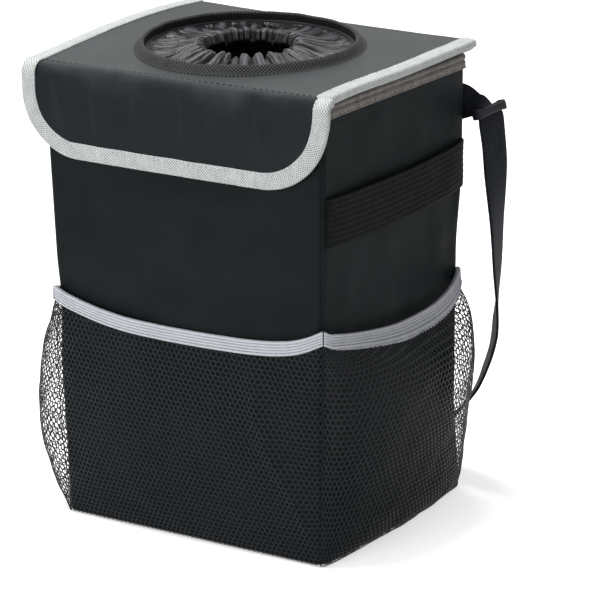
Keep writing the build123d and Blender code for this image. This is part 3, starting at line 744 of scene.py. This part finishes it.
def trimPiece(side, pouch, seed):
    ends = trimEnds[side]
    u = np.linspace(ends[0], pouch.run - ends[1], 150)
    high = pouch.mouth(u)
    q = np.linspace(0, 1, pocket["ribs"] * 6 + 1)
    ridges = pocket["ribDepth"] * np.abs(np.sin(q * pocket["ribs"] * math.pi))
    half = pocket["trimThick"] / 2
    section = [(0.0, 0.0), (0.04, half * 0.8)] + [(0.05 + 0.9 * a, half + b) for a, b in zip(q, ridges)]
    section += [(0.97, half * 0.8), (1.0, 0.0), (0.96, -half * 0.8), (0.9, -half), (0.5, -half), (0.1, -half),
                (0.04, -half * 0.8)]
    rows, uv = [], []
    for f, out in section:
        z = high - pocket["trim"] * (1 - f)
        p = pouch.point(u, z)
        stray = 0.25 * lumps(p, 12.0, seed)
        rows.append(p + pouch.normal(u, z) * (out + stray)[:, None])
        uv.append(raised(u, pocket["trim"] * f) * 0.001)
    piece = gridObject(side + "Trim", np.array(rows), np.array(uv + uv[:1]), trimElastic, wrapRows=True)
    place(piece, "bin", "elastic_trim", side + "_pocket_trim")
    z = high - pocket["trim"] * 0.76
    out = pouch.normal(u, z)
    seam = pouch.point(u, z) + out * (half + 0.25)
    place(stitchRow(side + "TrimStitches", seam, out, trimThread, 2.6, 1.6, 0.5), "bin", "elastic_trim")


for number, side in enumerate(("front", "right", "left")):
    pouch = netPiece(side, 20.0 + 7 * number)
    trimPiece(side, pouch, 3.0 + number)
print("stage: pockets")

# Webbing band across the right side
band = dict(low=191.0, high=219.5, half=0.8, bow=5.0, fullness=0.87, droop=1.5, rib=0.22, stray=0.5)
bandHigh = band["high"] - band["low"]
u = np.linspace(-1, 1, 90)
a = u * math.pi / 2
bandY = (box["depth"] / 2 - pocket["inset"]) * np.sin(a)
bandSection = [(f, band["half"]) for f in np.linspace(0, 1, 17)] + [(f, -band["half"]) for f in np.linspace(1, 0, 9)]
bandRows, bandUv = [], []
for f, out in bandSection:
    z = band["low"] + bandHigh * f - band["droop"] * np.cos(a) ** 2
    rib = band["rib"] * abs(math.sin(f * 8 * math.pi)) if out > 0 else 0.0
    stray = band["stray"] * lumps(np.column_stack([u * 70, 0 * u, z]), 16.0, 4.0)
    deep = band["bow"] * np.cos(a) ** band["fullness"] - band["half"] + out + rib + stray
    bandRows.append(np.stack([boxHalf(z) + np.maximum(deep, -1.2 + out), bandY, z], -1))
    bandUv.append(raised(u * 75, f * bandHigh) * 0.001)
sideBand = gridObject("sideBand", spread(bandRows), np.array(bandUv + bandUv[:1]), bandWebbing, wrapRows=True)
place(sideBand, "bin", "webbing", "right_side_band")
print("stage: band")

# Lid: a padded slab with the round hole, crowned a little towards the hole's lip
lid = dict(front=-73.6, back=82.0, backLeft=-101.0, backRight=98.5, top=275.2, bottom=271.6, corner=3.0, crown=0.9,
           holeX=-5.4, holeY=4.6, holeR=60.2, groove=-72.6, backRise=1.2)
# The lid's side edges, x for each y
leftEdge = ((-80, -107.3), (-55, -106.6), (-20, -106.8), (20, -107.0), (50, -105.5), (80.5, lid["backLeft"]))
rightEdge = ((-80, 103.5), (-73, 101.0), (-58, 99.2), (0, 98.7), (80.5, lid["backRight"]))
leftArch = ((-80, 0), (-55, 1.2), (-20, 2.6), (15, 3.0), (50, 2.2), (82, 0.8))  # lift of the soft lid's left edge


def lidRise(points):
    # The soft lid arches along its left edge and stands up a little towards the back
    x, y, z = (points[..., k] for k in range(3))
    return (curveAt(leftArch, y) * ramp(10, -104, x) + lid["backRise"] * ramp(0, 82, y)) * ramp(262, 268, z)


def lidLifted(points):
    points = lifted(points)
    points[..., 2] += lidRise(points)
    return points


# The lid's outline: up its right side, round the back corners, down the left side and along the front
roundR = lid["corner"]
roundRight, roundLeft, roundY = lid["backRight"] - roundR, lid["backLeft"] + roundR, lid["back"] - roundR
quarter = np.linspace(0, math.pi / 2, 6)
sideY = np.linspace(lid["front"], roundY, 46)
lidLoop = list(zip(curveAt(rightEdge, sideY), sideY))
lidLoop += [(roundRight + roundR * math.cos(t), roundY + roundR * math.sin(t)) for t in quarter[1:]]
lidLoop += [(x, lid["back"]) for x in np.linspace(roundRight, roundLeft, 60)[1:-1]]
lidLoop += [(roundLeft - roundR * math.sin(t), roundY + roundR * math.cos(t)) for t in quarter[:-1]]
lidLoop += list(zip(curveAt(leftEdge, sideY[::-1]), sideY[::-1]))
lidLoop += [(x, lid["front"]) for x in np.linspace(lidLoop[-1][0], lidLoop[0][0], 62)[1:-1]]
lidLoop = np.array(lidLoop)
holeCentre = np.array([lid["holeX"], lid["holeY"]])
holeLoop = holeCentre + unit(lidLoop - holeCentre) * lid["holeR"]
lidOut = unit(lidLoop - np.array([0.0, 0.4]))


def lidHeight(points, share):
    # Height of the lid's top: crowned, with soft unevenness and the fold's sewn groove
    z = lid["top"] + lid["crown"] * (1 - share) ** 1.5 + 0.35 * lumps(raised(points, 0.0), 45.0, 9.0, 2)
    return z - 1.1 * np.exp(-((points[:, 1] - lid["groove"]) / 0.7) ** 2)


lidReach = lidLoop - lidOut * 1.6 - holeLoop  # from the hole to where the lid's edge starts to round off
lidRows = [raised(holeLoop, lid["bottom"] + 0.1), raised(holeLoop, lid["top"] + 0.6)]
for share in np.linspace(0, 1, 34) ** 0.9:
    flat = holeLoop + lidReach * share
    lidRows.append(raised(flat, lidHeight(flat, share)))
for inset, drop in ((0.8, 0.35), (0.25, 1.0), (0.0, 2.5), (0.25, 4.0), (1.2, 4.9)):
    lidRows.append(raised(lidLoop - lidOut * inset, lid["top"] - drop))
for share in np.linspace(0.97, 0.0, 12):
    flat = holeLoop + lidReach * share
    lidRows.append(raised(flat, lid["bottom"] + 0.15 * lumps(raised(flat, 0.0), 30.0, 2.0)))
lidGrid = lidLifted(lidRows)
lidTop = gridObject("lidTop", lidGrid, planUv(lidGrid), lidCloth, wrapRows=True, wrapCols=True, flip=True)
place(lidTop, "lid", "lid_fabric", "lid_panel")
seamLine = lidLifted(raised(raised(np.linspace(-97, 93, 120), -71.3), lid["top"]))
foldStitches = stitchRow("foldStitches", seamLine, np.tile((0, 0, 1.0), (120, 1)), blackThread, 2.8, 1.3, 0.42, 0.0)
place(foldStitches, "lid", "lid_fabric")


def roundHole(r, angle, z):
    # Points round the hole's middle
    return np.stack(np.broadcast_arrays(lid["holeX"] + r * np.cos(angle), lid["holeY"] + r * np.sin(angle), z), -1)


# Raised binding round the hole
ring = dict(stray=0.3, paintedShadeFrom=11)
ringSection = [  # radius and height, from the outer edge over the top and down inside
    (65.6, 274.9), (67.1, 275.2), (67.5, 275.8), (67.1, 276.4), (66.4, 276.2), (65.9, 276.5), (65.0, 278.0),
    (63.9, 279.6), (63.1, 280.6), (62.3, 281.0), (61.5, 280.8), (61.0, 280.0), (60.6, 278.0), (60.4, 275.2),
    (60.2, 271.6), (60.5, 270.8), (62.0, 270.4), (64.0, 270.35), (66.2, 270.5), (66.6, 271.1), (66.0, 271.6)]
theta = np.linspace(0, 2 * math.pi, 241)[:-1]
ringRows = []
for r, z in ringSection:
    wob = ring["stray"] * lumps(np.column_stack([np.cos(theta) * 64, np.sin(theta) * 64, np.full(240, z)]), 13.0, 6.0)
    ringRows.append(roundHole(r + wob * (0.6 if z > 271 else 0.2), theta, z + wob * (1.2 if z > 277 else 0.2)))
ringGrid = lidLifted(ringRows)
ringUv = gridUv(np.linspace(0, 2 * math.pi * 0.0645, 241), lengthsAlong(ringGrid[:, 0]) * 0.001)
openingRing = gridObject("openingRing", ringGrid, ringUv, ringWeave, wrapCols=True, flip=True)
# The inner wall and underside take the darker stuff, as painted shade
openingRing.data.materials.append(ringPaintedShade)
ringFaces = openingRing.data.polygons
ringFaces.foreach_set("material_index", [int(k // 240 >= ring["paintedShadeFrom"]) for k in range(len(ringFaces))])
place(openingRing, "lid", "black_binding", "opening_binding")

# Gathered collar: pleats run from the lip to the elastic hole, and puff up at its edge
collar = dict(outer=2.9, inner=4.4, crestHighlight=3.0, rise=1.5, overhang=1.6, sharp=0.5, level=0.76,
              folds=((19, 0.5, 1.0), (33, 0.4, -1.6), (59, 0.16, 2.3)))  # count, height and wandering of the pleats
collarProfile = ((26.3, 273.2), (27.6, 276.8), (30, 278.6), (34, 277.9), (40, 276.0), (47, 274.6), (55, 274.4),
                 (60.3, 275.2))  # radius and height
collarR = np.concatenate([np.linspace(60.3, 34, 44), np.linspace(33.6, 26.3, 26)])
collarT = np.linspace(0, 2 * math.pi, 1081)[:-1]
rGrid, tGrid = np.meshgrid(collarR, collarT, indexing="ij")
circle = np.stack([np.cos(tGrid) * 9, np.sin(tGrid) * 9, rGrid * 0.13], -1)
warp = lumps(circle, 3.2, 1.0) * 1.7 + lumps(circle, 1.1, 4.0) * 0.35
pleat = sum(size * (np.abs(np.sin(count * tGrid / 2 + bend * warp + count)) ** collar["sharp"] - collar["level"])
            for count, size, bend in collar["folds"])
swell = 0.75 + 0.6 * lumps(np.stack([np.cos(tGrid) * 5, np.sin(tGrid) * 5, rGrid * 0.05], -1), 1.3, 7.0)
amount = collar["outer"] + (collar["inner"] - collar["outer"]) * ramp(60, 31, rGrid)
amount = amount * swell * ramp(60.8, 56.5, rGrid)
zGrid = curveAt(collarProfile, rGrid) + collar["rise"] * amount * pleat
rOut = rGrid - collar["overhang"] * amount * pleat * ramp(36, 28, rGrid)
rOut = rOut + 1.1 * lumps(circle, 2.0, 9.0) * ramp(45, 28, rGrid)
collarGrid = roundHole(rOut, tGrid, zGrid)
uneven = zGrid[-1] - zGrid[-1].mean()
turned = []  # the cloth turned under, back to the ring
for r, z in ((26.6, 271.2), (27.4, 269.4), (30.0, 268.6), (40.0, 268.4), (52.0, 268.8), (59.4, 270.2)):
    turned.append(roundHole(r, collarT, z + 0.5 * uneven * (1 - ramp(26, 60, r))))
collarGrid = lidLifted(np.concatenate([collarGrid, np.array(turned)], 0))
collarUv = gridUv(np.linspace(0, 0.36, 1081), lengthsAlong(collarGrid[:, 0]) * 0.001)
gatheredCollar = gridObject("gatheredCollar", collarGrid, collarUv, collarCloth, wrapCols=True, flip=True)
crestHighlight = np.clip((pleat + 0.8) / 1.05, 0, 1) ** collar["crestHighlight"]  # mask of the painted shade and highlight: 0 down in a pleat, 1 on top of it
crestHighlight = np.concatenate([crestHighlight, np.zeros((len(turned), len(collarT)))], 0)
gatheredCollar.data.attributes.new("crestHighlight", "FLOAT", "POINT").data.foreach_set("value", crestHighlight.ravel())
place(gatheredCollar, "lid", "collar_cloth", "elastic_collar")

# Elastic in the collar's hem
hem = dict(r=28.4, z=272.0, thick=1.2, bumps=0.18)
hemT = collarT[::3]
bumps = hem["thick"] * (1 + hem["bumps"] * np.cos(74 * hemT))
hemGrid = lidLifted([roundHole(hem["r"] + bumps * math.cos(t), hemT, hem["z"] + bumps * math.sin(t))
                     for t in np.linspace(0, 2 * math.pi, 13)[:-1]])
collarHem = gridObject("collarHem", hemGrid, np.zeros((13, 361, 2)), hemStuff, wrapRows=True, wrapCols=True, flip=True)
place(collarHem, "lid", "elastic", "collar_elastic")
print("stage: lid and collar")

# Flap: starts at the fold's seam on the lid, rolls over the edge and hangs with rounded lower corners
flap = dict(left=107.3, right=103.5, low=222.0, cornerLeft=40.0, cornerRight=46.0, outer=-79.9, inner=-77.2,
            bend=(6.5, 12.8), swell=1.4, fold=0.95, seam=1.2, stitches=267.4)
wrinkleLines = ((-82, 4.5, 0.8), (-55, 3.6, 1.0), (-24, 4.0, 1.1), (4, 3.4, 0.8), (27, 4.4, 1.0), (58, 4.0, 0.7),
                (78, 5.0, 0.6))  # x, width and height
bendY, bendZ = flap["outer"] + flap["bend"][0], lid["top"] - flap["bend"][1]
flapPath = [(-72.6, 273.9), (-73.0, 274.9)]
for t in np.linspace(math.radians(4), math.pi / 2, 18):
    flapPath.append((bendY - flap["bend"][0] * math.sin(t), bendZ + flap["bend"][1] * math.cos(t)))
foot = flap["low"] + 12
levels = np.concatenate([np.linspace(bendZ - 0.8, foot, 30), foot - 11.2 * np.linspace(0, 1, 14)[1:] ** 0.6])
flapPath = np.array(flapPath + [(flap["outer"], z) for z in levels])


def flapSpan(z, inset=0.0):
    # How far the flap reaches to the left and to the right at a height, with its rounded lower corners
    ends = []
    for half, r in ((flap["left"], flap["cornerLeft"]), (flap["right"], flap["cornerRight"])):
        drop = min(max(r - (z - flap["low"]), 0.0), r)
        ends.append(half - r + math.sqrt(r * r - drop * drop) - inset)
    return ends


def flapLifted(points):
    points = spread(points)
    points[..., 2] += topLift(points[..., 0], points[..., 1]) * (0.4 + 0.6 * ramp(225, 270, points[..., 2]))
    return points


def flapOut(x, z):
    # How far the hanging cloth stands forward: a soft swell, upright wrinkles and a shallow sewn line below the fold
    x = np.asarray(x, float)
    rest = np.column_stack([x, np.full(len(x), -79.0), np.full(len(x), z * 0.16)])
    hang = float(ramp(266, 243, z))
    share = x / flap["left"]
    wrinkles = lumps(rest, 15.0, 5.5) + 0.5 * lumps(rest, 7.0, 2.5)
    for spot, wide, high in wrinkleLines:
        lean = spot + 0.10 * (268 - z) + 1.5 * math.sin(z / 9.0 + spot)
        wrinkles = wrinkles + 1.6 * high * np.exp(-((x - lean) / wide) ** 2) * float(ramp(232, 262, z))
    reachL, reachR = flapSpan(z)
    inside = np.minimum(x + reachL, reachR - x)
    keep = float(ramp(flap["low"] + 8, flap["low"] + 24, z)) * float(ramp(274, 264, z)) * ramp(9, 26, inside)
    out = flap["swell"] * hang * (1 - share ** 2) + flap["fold"] * wrinkles * keep
    return out - 0.5 * math.exp(-((z - 269.0) / 0.6) ** 2)


def flapHang(x, z):
    # How far the flap's back and its binding follow the swell of the front
    return 0.8 * flap["swell"] * ramp(268, 240, z) * (1 - (np.asarray(x) / flap["left"]) ** 2)


across = np.linspace(-1, 1, 150)
flapRows, flapUv = [], []


def addFlapRow(z, depth, rise):
    # A row across the flap: depth gives y for each x, and rise says where the row lies along the cloth
    reachL, reachR = flapSpan(z, flap["seam"])
    x = (reachR - reachL) / 2 + across * (reachR + reachL) / 2
    flapRows.append(np.column_stack([x, depth(x), np.full(len(x), z)]))
    flapUv.append(raised(x, rise) * 0.001)


for (y, z), s in zip(flapPath, lengthsAlong(flapPath)):
    addFlapRow(z, lambda x: y - flapOut(x, z) * (1 - float(ramp(272.5, 275.0, z))), -s)
for z in [*levels[::-1], 265.0, 268.0]:
    addFlapRow(z, lambda x: flap["inner"] - flapHang(x, z), z)
flapCloth = gridObject("flapCloth", flapLifted(flapRows), np.array(flapUv), flapStuff, flip=True)
foldOver(flapCloth, "lid_fabric", "flap_panel")
seamX, seamZ = np.linspace(-96, 92, 120), flap["stitches"]
seamY = bendY - flap["bend"][0] * math.sqrt(1 - ((seamZ - bendZ) / flap["bend"][1]) ** 2)
seamLine = flapLifted(np.column_stack([seamX, seamY + 0.2 - flapOut(seamX, seamZ), np.full(120, seamZ)]))
topStitches = stitchRow("topStitches", seamLine, np.tile((0, -1.0, 0.25), (120, 1)), blackThread, 2.8, 1.3, 0.42)
foldOver(topStitches, "lid_fabric")

# Grey binding: one tape down the lid's left side, round the flap and back up the right side
tape = dict(width=9.3, puff=0.25, stray=0.2, lidHalf=2.5, flapHalf=1.95, turn=4.6)
lidMid, flapMid, turnR = (lid["top"] + lid["bottom"]) / 2, (flap["outer"] + flap["inner"]) / 2, tape["turn"]
foldZ = lidMid - turnR


def sideEdges(table, sign, half, corner):
    # One half of the tape's way: along the lid's side, over the fold, down the flap and round its corner
    # Each step has its point, the ways outward and upward from the cloth, and half the thickness
    out, side, ahead, cornerZ = [], (sign, 0, 0), (0, -1, 0), flap["low"] + corner
    for y in np.linspace(lid["back"] - 0.5, flapMid + turnR, 76, endpoint=False):
        out.append(((float(curveAt(table, y)) - sign * 0.2, y, lidMid), side, (0, 0, 1), tape["lidHalf"]))
    for t in np.linspace(0, math.pi / 2, 14):
        sine, cosine = math.sin(t), math.cos(t)
        point = (sign * half, flapMid + turnR - turnR * sine, foldZ + turnR * cosine)
        out.append((point, side, (0, -sine, cosine), tape["lidHalf"] + (tape["flapHalf"] - tape["lidHalf"]) * sine))
    if cornerZ < foldZ:
        for z in np.linspace(foldZ, cornerZ, 6)[1:]:
            out.append(((sign * half, flapMid, z), side, ahead, tape["flapHalf"]))
    for t in np.linspace(0, math.pi / 2, 40)[1:]:
        sine, cosine = math.sin(t), math.cos(t)
        point = (sign * (half - corner + corner * cosine), flapMid, cornerZ - corner * sine)
        out.append((point, (sign * cosine, 0, -sine), ahead, tape["flapHalf"]))
    return out


leftWay = sideEdges(leftEdge, -1, flap["left"], flap["cornerLeft"])
rightWay = sideEdges(rightEdge, 1, flap["right"], flap["cornerRight"])
lowX = np.linspace(leftWay[-1][0][0], rightWay[-1][0][0], 60)[1:-1]
lowWay = [((x, flapMid, flap["low"]), (0, 0, -1), (0, -1, 0), tape["flapHalf"]) for x in lowX]
spine, outward, upward, thick = (np.array(k, float) for k in zip(*leftWay, *lowWay, *rightWay[::-1]))
spine = spine + upward * flapHang(spine[:, 0], spine[:, 2])[:, None]
w, puff = tape["width"], tape["puff"]
tapeSection = [(-w, -0.8), (-w, -0.15), (-w + 0.35, 0.0), (-w * 0.75, puff * 0.7), (-w * 0.5, puff),
               (-w * 0.25, puff * 0.6), (-0.9, -0.05)]
tapeCols = [(a, thick + b) for a, b in tapeSection]
for t in np.linspace(math.pi / 2, -math.pi / 2, 11)[1:-1]:
    tapeCols.append((-0.9 + 1.75 * math.cos(t) ** 0.8, (thick - 0.05) * math.sin(t)))
tapeCols += [(a, -thick - b) for a, b in tapeSection[::-1]]
stray, strayEdge = tape["stray"] * lumps(spine, 8.0, 4.4), 0.35 * lumps(spine, 15.0, 8.8)
tapeGrid = []
for a, b in tapeCols:
    out = a + strayEdge * (1.0 if a < -w * 0.6 else 0.4)
    tapeGrid.append(spine + outward * out[:, None] + upward * (b + stray * np.sign(b))[:, None])
tapeGrid = flapLifted(tapeGrid)
tapeGrid[..., 2] += lidRise(tapeGrid)
tapeUv = gridUv(lengthsAlong(spine) * 0.001, lengthsAlong(tapeGrid[:, 20]) * 0.001)
greyBinding = gridObject("greyBinding", tapeGrid, tapeUv, greyTape)
foldOver(greyBinding, "grey_binding", "lid_binding_left", "lid_binding_right", "flap_binding")
tapeSeam = tapeGrid[3] * 0.45 + tapeGrid[2] * 0.55
foldOver(stitchRow("tapeStitches", tapeSeam, upward, greyThread, 2.6, 1.5, 0.5), "grey_binding")
print("stage: flap and binding")

# Hook and loop closure under the flap, with softly rounded corners
closure = dict(width=60.0, height=18.0, middle=243.2)


def closurePiece(name, yBack, yFront, body, node):
    cosine, sine = squareTurn(np.linspace(0, 2 * math.pi, 81)[:-1], 0.22)
    x, z = cosine * closure["width"] / 2, sine * closure["height"] / 2
    rows = []
    for share, front in ((0.0, 0), (0.6, 0), (0.98, 0), (1.0, 0.5), (0.98, 1), (0.6, 1), (0.0, 1)):
        y = yBack + (yFront - yBack) * front
        rows.append(np.column_stack([x * share, np.full(80, y), closure["middle"] + z * share]))
    piece = gridObject(name, np.array(rows), np.zeros((7, 81, 2)), hookStuff, wrapCols=True, flip=yFront > yBack)
    place(piece, body, "hook_loop", node)


closurePiece("loopStrip", -73.4, -74.75, "bin", "front_loop_strip")
closurePiece("hookStrip", -78.5, -76.4, "flap", "flap_hook_strip")

# Cloth hinge from the rim's back to the lid's back edge
hinge = dict(half=90.0, stray=0.2)
hingeLine = np.array([(74.7, 261.4), (75.2, 263.5), (76.2, 266.5), (78.2, 269.0), (80.2, 270.6), (80.9, 271.9),
                      (80.8, 273.6)])  # y and z
hingeX = np.linspace(-hinge["half"], hinge["half"], 70)
hingeGrid = np.array([raised(raised(hingeX, y), z) for y, z in hingeLine])
for row in hingeGrid:
    row[:, 1] += hinge["stray"] * lumps(row, 14.0, 6.6)
hingeUv = gridUv(hingeX * 0.001, lengthsAlong(hingeLine) * 0.001)
lidHinge = gridObject("lidHinge", hingeGrid, hingeUv, panelCloth, flip=True)
thicken(lidHinge, 0.8, 0.0)
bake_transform(lidHinge)
finishPiece(lidHinge, "lid_fabric", "lid_hinge_tape")
print("stage: closure and hinge")

# Studio: white floor that keeps a soft shadow, white world, soft lights
studio = dict(world=0.40, top=34.0, key=15.0, fill=4.0, floor=0.82, floorGlow=0.6)
white = (1, 1, 1, 1)


def seenRays(tree):
    # 1 for the rays that show a thing, straight, in gloss or through something clear, and 0 for those that light one
    path = tree.nodes.new("ShaderNodeLightPath")
    seen = calc(tree, "MAXIMUM", path.outputs["Is Camera Ray"], path.outputs["Is Transmission Ray"])
    return calc(tree, "MAXIMUM", seen, path.outputs["Is Glossy Ray"])


floorMesh = bpy.data.meshes.new("floor")
floorMesh.from_pydata([(-8, -8, 0), (8, -8, 0), (8, 8, 0), (-8, 8, 0)], [], [(0, 1, 2, 3)])
floor = addObject("floor", floorMesh)
floorStuff = bpy.data.materials.new("floorWhite")
floorStuff.use_nodes = True
tree = floorStuff.node_tree
tree.nodes.clear()
diffuse = tree.nodes.new("ShaderNodeBsdfDiffuse")
diffuse.inputs["Color"].default_value = (studio["floor"],) * 3 + (1,)
glow = tree.nodes.new("ShaderNodeEmission")
glow.inputs["Color"].default_value = white
tree.links.new(calc(tree, "MULTIPLY", seenRays(tree), studio["floorGlow"]), glow.inputs["Strength"])
both = tree.nodes.new("ShaderNodeAddShader")
tree.links.new(diffuse.outputs[0], both.inputs[0])
tree.links.new(glow.outputs[0], both.inputs[1])
out = tree.nodes.new("ShaderNodeOutputMaterial")
tree.links.new(both.outputs[0], out.inputs["Surface"])
floorMesh.materials.append(floorStuff)

world = bpy.data.worlds.new("studio")
scene.world = world
world.use_nodes = True
tree = world.node_tree
tree.nodes.clear()
level = calc(tree, "ADD", calc(tree, "MULTIPLY", seenRays(tree), 1.0 - studio["world"]), studio["world"])
sky = tree.nodes.new("ShaderNodeBackground")
sky.inputs["Color"].default_value = white
tree.links.new(level, sky.inputs["Strength"])
out = tree.nodes.new("ShaderNodeOutputWorld")
tree.links.new(sky.outputs[0], out.inputs["Surface"])


def softLight(name, spot3, aim, size, power):
    lamp = bpy.data.lights.new(name, "AREA")
    lamp.shape = "RECTANGLE"
    lamp.size, lamp.size_y = size
    lamp.energy = power
    obj = addObject(name, lamp)
    obj.location = spot3
    obj.rotation_euler = (Vector(aim) - Vector(spot3)).to_track_quat("-Z", "Y").to_euler()


softLight("topLight", (-0.35, -0.05, 1.75), (0, 0, 0.2), (1.0, 0.8), studio["top"])
softLight("keyLight", (-0.3, -1.9, 0.42), (0, 0, 0.17), (0.8, 0.7), studio["key"])
softLight("fillLight", (1.8, -0.9, 0.7), (0, 0, 0.15), (0.9, 1.2), studio["fill"])
scene.view_settings.view_transform = "Standard"
print("stage: studio")
